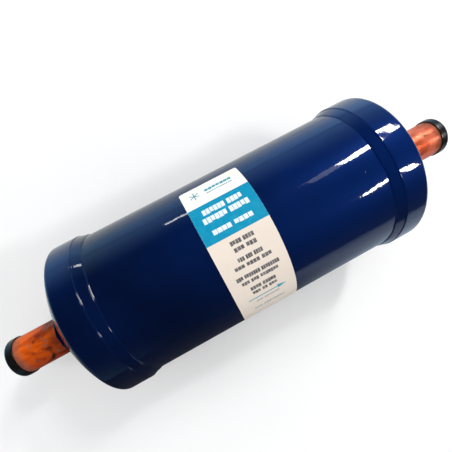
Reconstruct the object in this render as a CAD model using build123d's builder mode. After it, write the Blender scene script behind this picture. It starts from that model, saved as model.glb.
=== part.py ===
from build123d import *

import os
from math import atan, degrees, sqrt

# Liquid-line filter drier with solder sockets for a 5/8 in tube, in millimetres.
# X is the drier's axis and points along the flow, from the inlet socket at -X
# to the outlet socket at +X. The origin is the middle of the shell, on its axis,
# and the label faces up and to the front.

# --- driving dimensions -------------------------------------------------------

# steel shell: a plain length of tube
shell_od = 76.2
shell_wall = 2.0
shell_length = 158.0

# drawn steel end caps, slipped over the shell and lap welded to it
cap_wall = 1.8
cap_lap_gap = 0.1            # radial, between the skirt and the shell
cap_skirt_length = 9.05      # straight part, from its edge to the knuckle
cap_overhang = 1.25          # from the shell's end to the start of the knuckle
cap_knuckle_radius = 1.9     # outside
cap_crown_radius = 64.5      # outside
neck_length = 4.0            # turned-in collar that carries the stub
neck_bend_radius = 1.2       # outside of the turn-in

# fillet weld between the skirt's edge and the shell
weld_leg = 6.0
weld_crown = 0.3             # how far the bead bulges out of its flat face
weld_gap = 0.02              # thin line left between a joint's filler and its parents

# copper stubs with a solder socket in the end
stub_od = 19.05
socket_bore = 16.0
socket_depth = 14.0
stub_bore = 14.0             # past the stop shoulder
stub_standout = 31.35        # from the crown to the mouth
stub_tail = 2.0              # how far it reaches in past the neck
stub_chamfer = 0.4
braze_gap = 0.05             # radial, between the stub and the neck
braze_collar_length = 3.2
braze_collar_height = 0.3
braze_foot = 1.6             # fillet where the collar meets the crown

# plastic caps that keep the stubs clean until the drier is fitted
dust_cap_wall = 0.55
dust_cap_end = 0.9
dust_cap_length = 4.4
dust_cap_gap = 0.05          # running clearance over the stub and at its mouth
dust_cap_round = 1.4
dust_cap_lip_round = 0.14    # on the open rim

# wrapped label
label_width = 29.2
label_middle_x = -2.5
label_top_deg = 142.5        # its top edge, from -Y up through +Z
label_wrap_deg = 165.0
label_thickness = 0.15
label_gap = 0.05
label_corner = 1.2

# moulded desiccant block and the felt pads at its ends
block_diameter = 71.0
block_chamfer = 2.5
block_dish_depth = 3.0       # shallow dish in the face that meets the flow
block_dish_diameter = 54.0
inlet_pad_thickness = 3.0
outlet_pad_thickness = 6.0
pad_round = 0.8
pack_gap = 0.05              # axial, between the pieces of the pack
pack_side_gap = 0.3          # radial, between the pack and the shell

# woven screens, bound in a folded rim
screen_thickness = 0.4
screen_rim_thickness = 1.2
screen_rim_width = 2.0
screen_rim_round = 0.4

# perforated plates
plate_thickness = 1.2
plate_bend_radius = 1.8      # outside
plate_hole = 6.0
plate_hole_pitch = 11.0
outlet_flange_inset = 0.8    # from the cap's inner wall to the flange's edge
outlet_dish_depth = 4.0
pressure_plate_rim = 5.0
boss_diameter = 26.0
boss_height = 2.4

# conical compression spring that keeps the pack tight
spring_fitted_length = 29.5  # along the axis, between the middles of its two ends
spring_wire = 2.6
spring_crown_radius = 26.0   # mean radius of the turn in the inlet cap's crown
spring_plate_radius = 16.0   # mean radius of the turn on the pressure plate
spring_turns = 2.5
spring_gap = 0.05

# --- worked-out dimensions ----------------------------------------------------

shell_radius = shell_od / 2
shell_bore_radius = shell_radius - shell_wall
shell_end = shell_length / 2

cap_inner_radius = shell_radius + cap_lap_gap
cap_outer_radius = cap_inner_radius + cap_wall
knuckle_start = shell_end + cap_overhang
skirt_edge = knuckle_start - cap_skirt_length
knuckle_centre_radius = cap_outer_radius - cap_knuckle_radius
crown_to_knuckle = cap_crown_radius - cap_knuckle_radius
crown_centre = knuckle_start - sqrt(crown_to_knuckle**2 - knuckle_centre_radius**2)


def crown_x(radius, depth=0.0):
    """Axial place of the outlet cap's crown at a radius, or of a surface that deep in it."""
    return crown_centre + sqrt((cap_crown_radius - depth) ** 2 - radius**2)


stub_radius = stub_od / 2
neck_radius = stub_radius + braze_gap
neck_end = crown_x(neck_radius, cap_wall) - neck_length
stub_start = neck_end - stub_tail
stub_mouth = crown_x(stub_radius) + stub_standout

pack_radius = shell_bore_radius - pack_side_gap
boss_radius = boss_diameter / 2

# --- shell and end caps -------------------------------------------------------

with BuildPart() as shell_tube:
    with BuildSketch(Plane.YZ.offset(-shell_end)):
        Circle(shell_radius)
        Circle(shell_bore_radius, mode=Mode.SUBTRACT)
    extrude(amount=shell_length)

# The line is the sheet's outer face: skirt, knuckle, crown and turned-in neck.
knuckle_share = cap_crown_radius / crown_to_knuckle
knuckle_end = (
    crown_centre + knuckle_share * (knuckle_start - crown_centre),
    knuckle_share * knuckle_centre_radius,
)
with BuildPart() as outlet_end_cap:
    with BuildSketch():
        with BuildLine():
            skirt = Line((skirt_edge, cap_outer_radius), (knuckle_start, cap_outer_radius))
            TangentArc(skirt @ 1, knuckle_end, tangent=skirt % 1)
            crown = RadiusArc(knuckle_end, (crown_x(neck_radius), neck_radius), cap_crown_radius)
            Line(crown @ 1, (neck_end, neck_radius))
            fillet(crown.vertices().sort_by(Axis.Y)[0], neck_bend_radius)
            offset(amount=cap_wall, side=Side.RIGHT)
        make_face()
    revolve(axis=Axis.X)

with BuildPart() as inlet_end_cap:
    mirror(outlet_end_cap.part, about=Plane.YZ)

# The bead fills the corner between the skirt's edge and the shell.
weld_root = shell_radius + weld_gap
weld_back = skirt_edge - weld_gap
with BuildPart() as outlet_lap_weld:
    with BuildSketch():
        with BuildLine():
            toe = (weld_back - weld_leg, weld_root)
            top = (weld_back, cap_outer_radius)
            SagittaArc(toe, top, weld_crown)
            Polyline(top, (weld_back, weld_root), toe)
        make_face()
    revolve(axis=Axis.X)

with BuildPart() as inlet_lap_weld:
    mirror(outlet_lap_weld.part, about=Plane.YZ)

# --- copper stubs, their braze rings and the dust caps ------------------------

with BuildPart() as outlet_stub:
    with BuildSketch(Plane.YZ.offset(stub_start)):
        Circle(stub_radius)
    extrude(amount=stub_mouth - stub_start)
    with Locations(Plane.YZ.offset(stub_mouth)):
        CounterBoreHole(stub_bore / 2, socket_bore / 2, socket_depth)
    mouth_edges = edges().filter_by(GeomType.CIRCLE).group_by(Axis.X)[-1]
    chamfer(mouth_edges, stub_chamfer)

with BuildPart() as inlet_stub:
    mirror(outlet_stub.part, about=Plane.YZ)

# The filler climbs the stub as a thin collar and spreads at its foot.
braze_inner = stub_radius + weld_gap
braze_outer = stub_radius + braze_collar_height
foot_radius = braze_outer + braze_foot
braze_top = crown_x(stub_radius) + braze_collar_length
with BuildPart() as outlet_braze_ring:
    with BuildSketch():
        with BuildLine():
            foot_in = (crown_x(braze_inner) + weld_gap, braze_inner)
            foot_out = (crown_x(foot_radius) + weld_gap, foot_radius)
            collar_base = (crown_x(braze_outer) + braze_foot, braze_outer)
            collar_top = (braze_top - braze_collar_height, braze_outer)
            RadiusArc(foot_in, foot_out, -cap_crown_radius)
            RadiusArc(foot_out, collar_base, braze_foot)
            Polyline(collar_base, collar_top, (braze_top, braze_inner), foot_in)
        make_face()
    revolve(axis=Axis.X)

with BuildPart() as inlet_braze_ring:
    mirror(outlet_braze_ring.part, about=Plane.YZ)

cup_radius = stub_radius + dust_cap_gap
cup_floor = stub_mouth + dust_cap_gap
dust_cap_face = cup_floor + dust_cap_end
with BuildPart() as outlet_dust_cap:
    with BuildSketch(Plane.YZ.offset(dust_cap_face - dust_cap_length)):
        Circle(cup_radius + dust_cap_wall)
    extrude(amount=dust_cap_length)
    fillet(faces().sort_by(Axis.X)[-1].edges(), dust_cap_round)
    with BuildSketch(Plane.YZ.offset(dust_cap_face - dust_cap_length)):
        Circle(cup_radius)
    extrude(amount=dust_cap_length - dust_cap_end, mode=Mode.SUBTRACT)
    rim_edges = faces().sort_by(Axis.X)[0].edges()
    fillet(rim_edges, dust_cap_lip_round)

with BuildPart() as inlet_dust_cap:
    mirror(outlet_dust_cap.part, about=Plane.YZ)

# --- label --------------------------------------------------------------------

label_inner = shell_radius + label_gap
label_outer = label_inner + label_thickness
label_start = label_middle_x - label_width / 2
with BuildPart() as label:
    with BuildSketch(Plane.YZ.offset(label_start)):
        with BuildLine():
            inner = CenterArc((0, 0), label_inner, 180 - label_top_deg, label_wrap_deg)
            outer = CenterArc((0, 0), label_outer, 180 - label_top_deg, label_wrap_deg)
            Line(inner @ 0, outer @ 0)
            Line(inner @ 1, outer @ 1)
        make_face()
    extrude(amount=label_width)
    # the four short edges, through the label's thickness
    corners = edges().filter_by(GeomType.LINE).sort_by(SortBy.LENGTH)[:4]
    fillet(corners, label_corner)

# --- the pack: desiccant block, pads, screens and plates ----------------------


def plate_holes(edge, seat_from=0.0, seat_to=0.0):
    """Sketch rings of holes out to an edge radius, none of them on the spring's seat."""
    reach = plate_hole / 2
    if seat_from > reach or seat_to == 0.0:
        Circle(reach)
    for ring in range(1, int((edge - reach) / plate_hole_pitch) + 1):
        radius = ring * plate_hole_pitch
        if seat_from < radius + reach and radius - reach < seat_to:
            continue
        with PolarLocations(radius, 6 * ring):
            Circle(reach)


# The outlet plate's flange is trapped between the shell's end and the cap's crown.
# The formed plates are drawn by the middle line of their sheet.
half_sheet = plate_thickness / 2
middle_bend = plate_bend_radius - half_sheet
flange_radius = cap_inner_radius - outlet_flange_inset
flange_x = crown_x(flange_radius, cap_wall) - pack_gap - half_sheet
outlet_plate_x = flange_x - outlet_dish_depth - half_sheet
with BuildPart() as outlet_perforated_plate:
    with BuildSketch():
        with BuildLine():
            FilletPolyline(
                (flange_x, flange_radius),
                (flange_x, pack_radius - half_sheet),
                (outlet_plate_x + half_sheet, pack_radius - half_sheet),
                (outlet_plate_x + half_sheet, 0),
                radius=middle_bend,
            )
        trace(line_width=plate_thickness)
    revolve(axis=Axis.X)
    with BuildSketch(Plane.YZ.offset(outlet_plate_x)):
        plate_holes(pack_radius - plate_thickness - plate_bend_radius)
    extrude(amount=plate_thickness, mode=Mode.SUBTRACT)


def bound_screen(upstream_x):
    """Sketch the section of a woven disc in its folded rim."""
    middle = upstream_x + screen_rim_thickness / 2
    with BuildSketch() as section:
        with Locations((middle, pack_radius / 2)):
            Rectangle(screen_thickness, pack_radius)
        with Locations((middle, pack_radius - screen_rim_width / 2)):
            Rectangle(screen_rim_thickness, screen_rim_width)
        rim_corners = section.vertices().group_by(Axis.Y)[-1]
        fillet(rim_corners, screen_rim_round)
    return section.sketch


outlet_screen_x = outlet_plate_x - pack_gap - screen_rim_thickness
with BuildPart() as outlet_mesh_screen:
    revolve(bound_screen(outlet_screen_x), axis=Axis.X)

outlet_pad_x = outlet_screen_x - pack_gap - outlet_pad_thickness

# The spring's big end lies in the crown of the inlet cap, and its small end presses on
# the plate. The block is moulded to fill the length that is left.
spring_end_radius = cap_crown_radius - cap_wall - spring_gap - spring_wire / 2
spring_crown_x = -crown_centre - sqrt(spring_end_radius**2 - spring_crown_radius**2)
spring_plate_x = spring_crown_x + spring_fitted_length
spring_seat_x = spring_plate_x + spring_wire / 2 + spring_gap
inlet_screen_x = spring_seat_x + plate_thickness + pack_gap
inlet_pad_x = inlet_screen_x + screen_rim_thickness + pack_gap
block_x = inlet_pad_x + inlet_pad_thickness + pack_gap
block_length = outlet_pad_x - pack_gap - block_x

with BuildPart() as outlet_fibre_pad:
    with BuildSketch(Plane.YZ.offset(outlet_pad_x)):
        Circle(pack_radius)
    extrude(amount=outlet_pad_thickness)
    fillet(edges().filter_by(GeomType.CIRCLE), pad_round)

with BuildPart() as desiccant_block:
    with BuildSketch(Plane.YZ.offset(block_x)):
        Circle(block_diameter / 2)
    extrude(amount=block_length)
    chamfer(edges().filter_by(GeomType.CIRCLE), block_chamfer)
    dish_sphere = (block_dish_diameter**2 / 4 + block_dish_depth**2) / (2 * block_dish_depth)
    with Locations((block_x + block_dish_depth - dish_sphere, 0, 0)):
        Sphere(dish_sphere, mode=Mode.SUBTRACT)

with BuildPart() as inlet_fibre_pad:
    with BuildSketch(Plane.YZ.offset(inlet_pad_x)):
        Circle(pack_radius)
    extrude(amount=inlet_pad_thickness)
    fillet(edges().filter_by(GeomType.CIRCLE), pad_round)

with BuildPart() as inlet_mesh_screen:
    revolve(bound_screen(inlet_screen_x), axis=Axis.X)

# The pressure plate has a boss that centres the spring, and an upturned rim.
pressure_plate_x = spring_seat_x + half_sheet
boss_wall_radius = boss_radius - half_sheet
rim_wall_radius = pack_radius - half_sheet
with BuildPart() as inlet_pressure_plate:
    with BuildSketch():
        with BuildLine():
            FilletPolyline(
                (pressure_plate_x - boss_height, 0),
                (pressure_plate_x - boss_height, boss_wall_radius),
                (pressure_plate_x, boss_wall_radius),
                (pressure_plate_x, rim_wall_radius),
                (pressure_plate_x - pressure_plate_rim, rim_wall_radius),
                radius=middle_bend,
            )
        trace(line_width=plate_thickness)
    revolve(axis=Axis.X)
    with BuildSketch(Plane.YZ.offset(pressure_plate_x - boss_height - plate_thickness)):
        plate_holes(
            pack_radius - plate_thickness - plate_bend_radius,
            seat_from=boss_radius - plate_bend_radius,
            seat_to=spring_plate_radius + spring_wire / 2,
        )
    extrude(amount=boss_height + 2 * plate_thickness, mode=Mode.SUBTRACT)

# The spring widens evenly from the plate to the crown.
spring_cone = degrees(atan((spring_crown_radius - spring_plate_radius) / spring_fitted_length))
with BuildPart() as pack_spring:
    with BuildLine() as spring_line:
        Helix(
            pitch=spring_fitted_length / spring_turns,
            height=spring_fitted_length,
            radius=spring_plate_radius,
            center=(spring_plate_x, 0, 0),
            direction=(-1, 0, 0),
            cone_angle=spring_cone,
        )
    with BuildSketch(Plane(origin=spring_line.line @ 0, z_dir=spring_line.line % 0)):
        Circle(spring_wire / 2)
    sweep(is_frenet=True)

# --- export -------------------------------------------------------------------

pieces = {
    "shell_tube": shell_tube,
    "inlet_end_cap": inlet_end_cap,
    "outlet_end_cap": outlet_end_cap,
    "inlet_lap_weld": inlet_lap_weld,
    "outlet_lap_weld": outlet_lap_weld,
    "inlet_stub": inlet_stub,
    "outlet_stub": outlet_stub,
    "inlet_braze_ring": inlet_braze_ring,
    "outlet_braze_ring": outlet_braze_ring,
    "inlet_dust_cap": inlet_dust_cap,
    "outlet_dust_cap": outlet_dust_cap,
    "label": label,
    "pack_spring": pack_spring,
    "inlet_pressure_plate": inlet_pressure_plate,
    "inlet_mesh_screen": inlet_mesh_screen,
    "inlet_fibre_pad": inlet_fibre_pad,
    "desiccant_block": desiccant_block,
    "outlet_fibre_pad": outlet_fibre_pad,
    "outlet_mesh_screen": outlet_mesh_screen,
    "outlet_perforated_plate": outlet_perforated_plate,
}

os.makedirs("parts", exist_ok=True)
for name, piece in pieces.items():
    piece.part.label = name
    export_step(piece.part, f"parts/{name}.step")
    print(f"{name}: {piece.part.volume:.0f} mm3, valid {piece.part.is_valid}")
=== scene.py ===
"""The looks of a brazed filter drier: painted steel body, copper sockets, dust caps and label."""

import sys
import logging
import random
from collections.abc import Iterable, Sequence
from dataclasses import dataclass
from enum import Enum
from math import atan2, cos, degrees, hypot, pi, radians, sin, sqrt

import bmesh
import bpy
from mathutils import Matrix, Vector


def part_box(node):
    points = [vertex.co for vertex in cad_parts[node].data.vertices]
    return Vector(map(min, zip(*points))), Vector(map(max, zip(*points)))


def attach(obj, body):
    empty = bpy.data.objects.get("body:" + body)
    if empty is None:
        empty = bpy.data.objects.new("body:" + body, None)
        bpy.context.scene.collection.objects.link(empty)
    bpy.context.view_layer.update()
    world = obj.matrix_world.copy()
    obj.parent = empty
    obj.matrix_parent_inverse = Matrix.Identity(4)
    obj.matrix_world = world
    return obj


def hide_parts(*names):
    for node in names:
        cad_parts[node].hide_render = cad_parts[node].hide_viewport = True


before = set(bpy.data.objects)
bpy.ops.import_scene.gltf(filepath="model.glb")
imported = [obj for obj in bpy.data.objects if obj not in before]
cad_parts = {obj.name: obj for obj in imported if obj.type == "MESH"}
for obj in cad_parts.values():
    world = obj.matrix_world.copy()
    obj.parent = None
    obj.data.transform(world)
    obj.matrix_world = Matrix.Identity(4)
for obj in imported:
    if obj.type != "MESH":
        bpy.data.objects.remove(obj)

MM = 0.001
LOG = logging.getLogger("drier")

Colour = tuple[float, float, float]
Place = tuple[float, float, float]
Point = tuple[float, float]
Mesh = bmesh.types.BMesh
Node = bpy.types.Node
Socket = bpy.types.NodeSocket
Tree = bpy.types.NodeTree


class End(Enum):
    """The two ends of the drier, as the sign of their X."""

    INLET = -1
    OUTLET = 1


class Body(Enum):
    """The moving bodies of the frame."""

    DRIER = "drier"
    INLET_CAP = "inlet_cap"
    OUTLET_CAP = "outlet_cap"


# --- shader helpers ---


class ShaderSheet:
    """A node tree with short calls for adding and joining nodes."""

    def __init__(self, tree: Tree) -> None:
        """Keep the tree that the calls add to."""
        self.tree = tree

    def node(self, kind: str, label: str = "", **settings: object) -> Node:
        """Add a node.

        Args:
            kind: The node's type, without its ShaderNode prefix.
            label: A maker's word for what the node does.
            **settings: Properties of the node to set.

        Returns:
            The new node.
        """
        made = self.tree.nodes.new("ShaderNode" + kind)
        made.label = label
        for name, value in settings.items():
            setattr(made, name, value)
        return made

    def join(self, source: Socket, target: Socket) -> None:
        """Join an output to an input."""
        self.tree.links.new(source, target)

    def feed(self, node: Node, **inputs: float | Colour | Socket) -> None:
        """Give a node's inputs their values, with underscores for spaces in their names."""
        for title, value in inputs.items():
            self.put(node.inputs[title.replace("_", " ")], value)

    def put(self, target: Socket, value: float | Colour | Socket) -> None:
        """Give one input its value.

        Args:
            target: The input.
            value: A number, a colour, or the output to join to it.
        """
        if isinstance(value, tuple):
            target.default_value = (*value, 1.0)
        elif isinstance(value, (int, float)):
            target.default_value = value
        else:
            self.join(value, target)

    def place(self, coordinates: str = "Object") -> Sequence[Socket]:
        """Give the X, Y and Z of a point.

        Args:
            coordinates: Which coordinates to read.

        Returns:
            The three sockets.
        """
        split = self.node("SeparateXYZ", "place")
        self.join(self.node("TexCoord").outputs[coordinates], split.inputs[0])
        return split.outputs

    def blend(
        self, mask: Socket, low: Colour | Socket, high: Colour | Socket, label: str = ""
    ) -> Socket:
        """Mix two colours by a mask.

        Args:
            mask: The factor.
            low: The colour where the mask is 0, or a socket that gives it.
            high: The colour where the mask is 1, or a socket that gives it.
            label: A maker's word for the mix.

        Returns:
            The mixed colour's socket.
        """
        mix = self.node("Mix", label, data_type="RGBA")
        for number, value in ((0, mask), (6, low), (7, high)):
            self.put(mix.inputs[number], value)
        return mix.outputs[2]

    def veil(
        self, mask: Socket, share: float, under: Colour | Socket, over: Colour, label: str
    ) -> Socket:
        """Lay a share of one colour over another where a mask says."""
        return self.blend(self.maths("MULTIPLY", mask, share), under, over, label)

    def remap(self, kind: str, label: str, **ends: float | Socket) -> Socket:
        """Map a value from one range to another.

        Args:
            kind: The node's interpolation.
            label: A maker's word for the result.
            **ends: The value, and the ends of its ranges.

        Returns:
            The result's socket.
        """
        made = self.node("MapRange", label, interpolation_type=kind)
        self.feed(made, **ends)
        return made.outputs["Result"]

    def spread(self, value: Socket, low: float, high: float, label: str = "") -> Socket:
        """Spread a mask, so that its 0 becomes low and its 1 becomes high."""
        return self.remap("LINEAR", label, Value=value, To_Min=low, To_Max=high)

    def window(
        self, value: Socket, start: float | Socket, end: float | Socket, label: str = ""
    ) -> Socket:
        """Turn a value into a mask that climbs smoothly from 0 at start to 1 at end."""
        return self.remap("SMOOTHSTEP", label, Value=value, From_Min=start, From_Max=end)

    def maths(self, operation: str, *values: float | Socket, label: str = "") -> Socket:
        """Combine numbers and sockets.

        Args:
            operation: The Math node's operation.
            *values: Its values, in order.
            label: A maker's word for the result.

        Returns:
            The result's socket.
        """
        made = self.node("Math", label, operation=operation)
        for socket, value in zip(made.inputs, values):
            self.put(socket, value)
        return made.outputs[0]

    def bump(self, *layers: tuple[Socket, float]) -> Socket:
        """Lay bumps over one another.

        Args:
            *layers: Each bump's height mask and its depth in millimetres, lowest first.

        Returns:
            The normal's socket.
        """
        normal = None
        for height, depth in layers:
            made = self.node("Bump")
            self.feed(made, Strength=1.0, Distance=depth * MM, Height=height)
            if normal is not None:
                self.join(normal, made.inputs["Normal"])
            normal = made.outputs["Normal"]
        return normal


class SharedEffects:
    """Shader node groups that more than one finish uses, each built once."""

    def __init__(self) -> None:
        """Build every group."""
        self.unevenness = self._unevenness()
        self.specks = self._specks()

    @staticmethod
    def _start(name: str, inputs: dict[str, float]) -> tuple[ShaderSheet, Node, Socket]:
        """Start a group with its sockets.

        Args:
            name: The group's name.
            inputs: Input names with their usual values.

        Returns:
            The group's sheet, its input node and its Mask output.
        """
        group = bpy.data.node_groups.new(name, "ShaderNodeTree")
        for title, value in inputs.items():
            socket = group.interface.new_socket(
                title, in_out="INPUT", socket_type="NodeSocketFloat"
            )
            socket.default_value = value
        group.interface.new_socket("Mask", in_out="OUTPUT", socket_type="NodeSocketFloat")
        entry = group.nodes.new("NodeGroupInput")
        leave = group.nodes.new("NodeGroupOutput")
        return ShaderSheet(group), entry, leave.inputs["Mask"]

    def _unevenness(self) -> Tree:
        """Build the soft uneven patches of paint, oxide, felt and mouldings.

        Returns:
            The group, with a Mask output.
        """
        usual = {
            "Scale": 100.0, "Detail": 4.0, "Warp": 0.0, "Low": 0.35, "High": 0.65,
            "Stretch X": 1.0, "Stretch Round": 1.0, "Seed": 0.0,
        }
        sheet, entry, mask = self._start("unevenness", usual)
        given = entry.outputs
        stretch = sheet.node("CombineXYZ", "stretch")
        for number, title in enumerate(("Stretch X", "Stretch Round", "Stretch Round")):
            sheet.join(given[title], stretch.inputs[number])
        scaled = sheet.node("VectorMath", operation="MULTIPLY")
        sheet.join(sheet.node("TexCoord").outputs["Object"], scaled.inputs[0])
        sheet.join(stretch.outputs[0], scaled.inputs[1])
        noise = sheet.node("TexNoise", noise_dimensions="4D")
        sheet.feed(
            noise, Vector=scaled.outputs[0], W=given["Seed"], Scale=given["Scale"],
            Detail=given["Detail"], Distortion=given["Warp"],
        )
        sheet.join(sheet.window(noise.outputs[0], given["Low"], given["High"]), mask)
        return sheet.tree

    def _specks(self) -> Tree:
        """Build the sparse round specks of dust, beads and paint nibs.

        Returns:
            The group, with a Mask output.
        """
        usual = {"Scale": 300.0, "Radius": 0.2, "Scatter": 1.0}
        sheet, entry, mask = self._start("specks", usual)
        given = entry.outputs
        cells = sheet.node("TexVoronoi", feature="F1")
        sheet.feed(
            cells, Vector=sheet.node("TexCoord").outputs["Object"], Scale=given["Scale"],
            Randomness=given["Scatter"],
        )
        sheet.join(sheet.window(cells.outputs["Distance"], given["Radius"], 0.0), mask)
        return sheet.tree


EFFECTS = SharedEffects()


class FinishSheet(ShaderSheet):
    """A material's node tree, with its Principled shader and calls for the shared effects."""

    def __init__(self, tree: Tree) -> None:
        """Keep the tree, and find its shader."""
        super().__init__(tree)
        self.shader = tree.nodes["Principled BSDF"]

    def effect(self, group: Tree, label: str, values: dict[str, float]) -> Socket:
        """Place a shared effect with its own values.

        Args:
            group: The shared effect's node group.
            label: A maker's word for what it does here.
            values: Input values, with underscores for spaces in the names.

        Returns:
            The effect's mask.
        """
        made = self.node("Group", label)
        made.node_tree = group
        self.feed(made, **values)
        return made.outputs["Mask"]

    def uneven(self, label: str, **values: float) -> Socket:
        """Place the soft uneven patches, and give their mask."""
        return self.effect(EFFECTS.unevenness, label, values)

    def specks(self, label: str, **values: float) -> Socket:
        """Place the round specks, and give their mask."""
        return self.effect(EFFECTS.specks, label, values)

    def dress(self, **inputs: float | Colour | Socket) -> None:
        """Give the shader's inputs their values."""
        self.feed(self.shader, **inputs)


# --- finishes ---


@dataclass(frozen=True)
class Finish:
    """A finish, which makes one material."""

    title: str

    def material(self) -> bpy.types.Material:
        """Make the material, or give the one that was made before.

        Returns:
            The finish's material.
        """
        name = f"{self.title}_finish"
        made = bpy.data.materials.get(name)
        if made is None:
            made = bpy.data.materials.new(name)
            made.use_nodes = True
            self.fill(FinishSheet(made.node_tree))
        return made

    def fill(self, sheet: FinishSheet) -> None:
        """Lay the nodes that feed the sheet's shader."""
        raise NotImplementedError


@dataclass(frozen=True)
class BlueEnamel(Finish):
    """Thick glossy stove enamel over steel, with orange peel, runs and a few nibs, and painted
    light: lighter towards the outlet and at the inlet end's upper side, darker towards negative Y.
    """

    title: str = "blue_enamel"
    deep: Colour = (0.0006, 0.0040, 0.022)
    bright: Colour = (0.0006, 0.0185, 0.132)
    scuffed: Colour = (0.012, 0.026, 0.070)
    outlet_light_share: float = 0.75
    patch_share: float = 0.25
    painted_sheen_share: float = 0.55
    scuff_share: float = 0.12
    peel_depth: float = 0.006
    ripple_depth: float = 0.05
    nib_height: float = 0.08

    def fill(self, sheet: FinishSheet) -> None:
        """Lay the enamel's nodes.

        Args:
            sheet: The material's node sheet.
        """
        x, y, _ = sheet.place()
        patches = sheet.uneven("paint depth", Scale=26.0, Detail=3.0, Low=0.3, High=0.75)
        # Painted light: the enamel is made lighter towards the outlet end and darker towards the
        # inlet.
        outlet = sheet.window(x, -0.09, 0.11, "brighter to the outlet")
        share = sheet.maths("MULTIPLY", outlet, self.outlet_light_share)
        varied = sheet.maths("MULTIPLY_ADD", patches, self.patch_share, share)
        # Painted sheen: the inlet end's upper side is made a lighter blue.
        inlet = sheet.window(x, -0.060, -0.078, "inlet end")
        upper_side = sheet.window(y, 0.002, 0.030, "upper side")
        sheen = sheet.maths("MULTIPLY", inlet, upper_side)
        sheen = sheet.maths("MULTIPLY", sheen, self.painted_sheen_share)
        varied = sheet.maths("ADD", varied, sheen)
        # Painted shade: the enamel darkens towards negative Y. depth below carries both the random
        # paint patches and this painted light and shade.
        upper = sheet.window(y, -0.040, 0.004, "darker towards negative Y, painted shade")
        depth = sheet.maths("MULTIPLY", varied, sheet.spread(upper, 0.25, 1.0))
        colour = sheet.blend(depth, self.deep, self.bright, "enamel")
        scuffs = sheet.uneven("scuffs", Scale=70.0, Detail=9.0, Warp=1.5, Low=0.66, High=0.78)
        peel = sheet.uneven("orange peel", Scale=620.0, Detail=1.0, Low=0.2, High=0.8)
        runs = sheet.uneven("runs", Scale=90.0, Detail=2.0, Low=0.1, High=0.9, Seed=3.0)
        nibs = sheet.specks("nibs", Scale=120.0, Radius=0.035)
        normal = sheet.bump(
            (runs, self.ripple_depth), (peel, self.peel_depth), (nibs, self.nib_height)
        )
        sheet.dress(
            Base_Color=sheet.veil(scuffs, self.scuff_share, colour, self.scuffed, "dulled"),
            Roughness=sheet.spread(patches, 0.40, 0.48, "base sheen"),
            Specular_IOR_Level=0.02, Metallic=0.30,
            Coat_Weight=1.0, Coat_Roughness=0.045, Coat_IOR=1.46,
            Normal=normal, Coat_Normal=normal,
        )


@dataclass(frozen=True)
class SweatCopper(Finish):
    """Drawn copper tube, coloured by the torch, with dark oxide near the joint, and painted shade
    that makes it darker and redder towards negative Y.
    """

    title: str = "outlet_copper"
    fresh: Colour = (0.90, 0.21, 0.11)
    warm: Colour = (0.56, 0.090, 0.032)
    oxide: Colour = (0.055, 0.030, 0.022)
    tarnish: Colour = (0.10, 0.075, 0.050)
    joint_x: float = 94.0
    joint_fade: float = 7.0
    mouth_x: float = 122.0
    mouth_fade: float = 5.0
    oxide_low: float = 0.60
    oxide_step: float = 0.17
    film_low: float = 0.63
    film_step: float = 0.08
    film_share: float = 0.55
    blotch_scale: float = 150.0
    painted_shade_below: float = 0.35
    streak_share: float = 0.45
    metal: float = 0.45
    joint_stain: float = 0.7

    def fill(self, sheet: FinishSheet) -> None:
        """Lay the copper's nodes.

        Args:
            sheet: The material's node sheet.
        """
        x, y, _ = sheet.place()
        along = sheet.maths("ABSOLUTE", x, label="distance from the middle")
        blotches = sheet.uneven(
            "torch colours", Scale=self.blotch_scale, Detail=6.0, Warp=0.6, Low=0.40, High=0.62,
            Stretch_X=0.6, Seed=self.joint_x,
        )
        # Painted shade: the copper turns darker and redder towards negative Y. The torch mask below
        # mixes this painted shade with the real torch colours.
        lower = sheet.window(y, 0.005, -0.010, "darker and redder towards negative Y, painted shade")
        redder = sheet.maths("MULTIPLY", lower, self.painted_shade_below)
        torch = sheet.maths("MAXIMUM", blotches, redder)
        colour = sheet.blend(torch, self.fresh, self.warm, "torch colours")
        streaks = sheet.uneven(
            "streaks", Scale=420.0, Detail=4.0, Warp=0.4, Low=0.45, High=0.70,
            Stretch_X=0.25, Seed=5.0,
        )
        colour = sheet.veil(streaks, self.streak_share, colour, self.warm, "streaks")
        stains = sheet.uneven(
            "stains", Scale=120.0, Detail=7.0, Warp=1.1, Low=self.oxide_low,
            High=self.oxide_low + self.oxide_step, Stretch_X=0.8, Seed=self.metal * 9,
        )
        joint_end = (self.joint_x + self.joint_fade) * MM
        near_joint = sheet.window(along, joint_end, self.joint_x * MM, "near joint")
        joint_stain = sheet.maths("MULTIPLY", near_joint, self.joint_stain)
        stained = sheet.maths("MAXIMUM", stains, joint_stain, label="oxide")
        colour = sheet.blend(stained, colour, self.oxide, "oxide")
        film = sheet.uneven(
            "tarnish", Scale=210.0, Detail=6.0, Warp=0.5, Low=self.film_low,
            High=self.film_low + self.film_step, Seed=8.0,
        )
        mouth_start = (self.mouth_x - self.mouth_fade) * MM
        near_mouth = sheet.window(along, mouth_start, self.mouth_x * MM, "mouth")
        filmed = sheet.maths("MAXIMUM", film, near_mouth)
        dents = sheet.uneven(
            "handling dents", Scale=190.0, Detail=2.0, Low=0.2, High=0.8, Seed=2.0
        )
        scratches = sheet.uneven(
            "scratches", Scale=1100.0, Detail=4.0, Warp=0.8, Low=0.35, High=0.75,
            Stretch_Round=0.3, Seed=12.0,
        )
        sheet.dress(
            Base_Color=sheet.veil(filmed, self.film_share, colour, self.tarnish, "tarnish"),
            Metallic=sheet.spread(stained, self.metal, 0.15, "bare metal"),
            Roughness=sheet.spread(stained, 0.34, 0.62, "roughness"),
            Specular_IOR_Level=0.12,
            Normal=sheet.bump((dents, 0.13), (scratches, 0.02), (streaks, 0.02)),
        )


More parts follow.
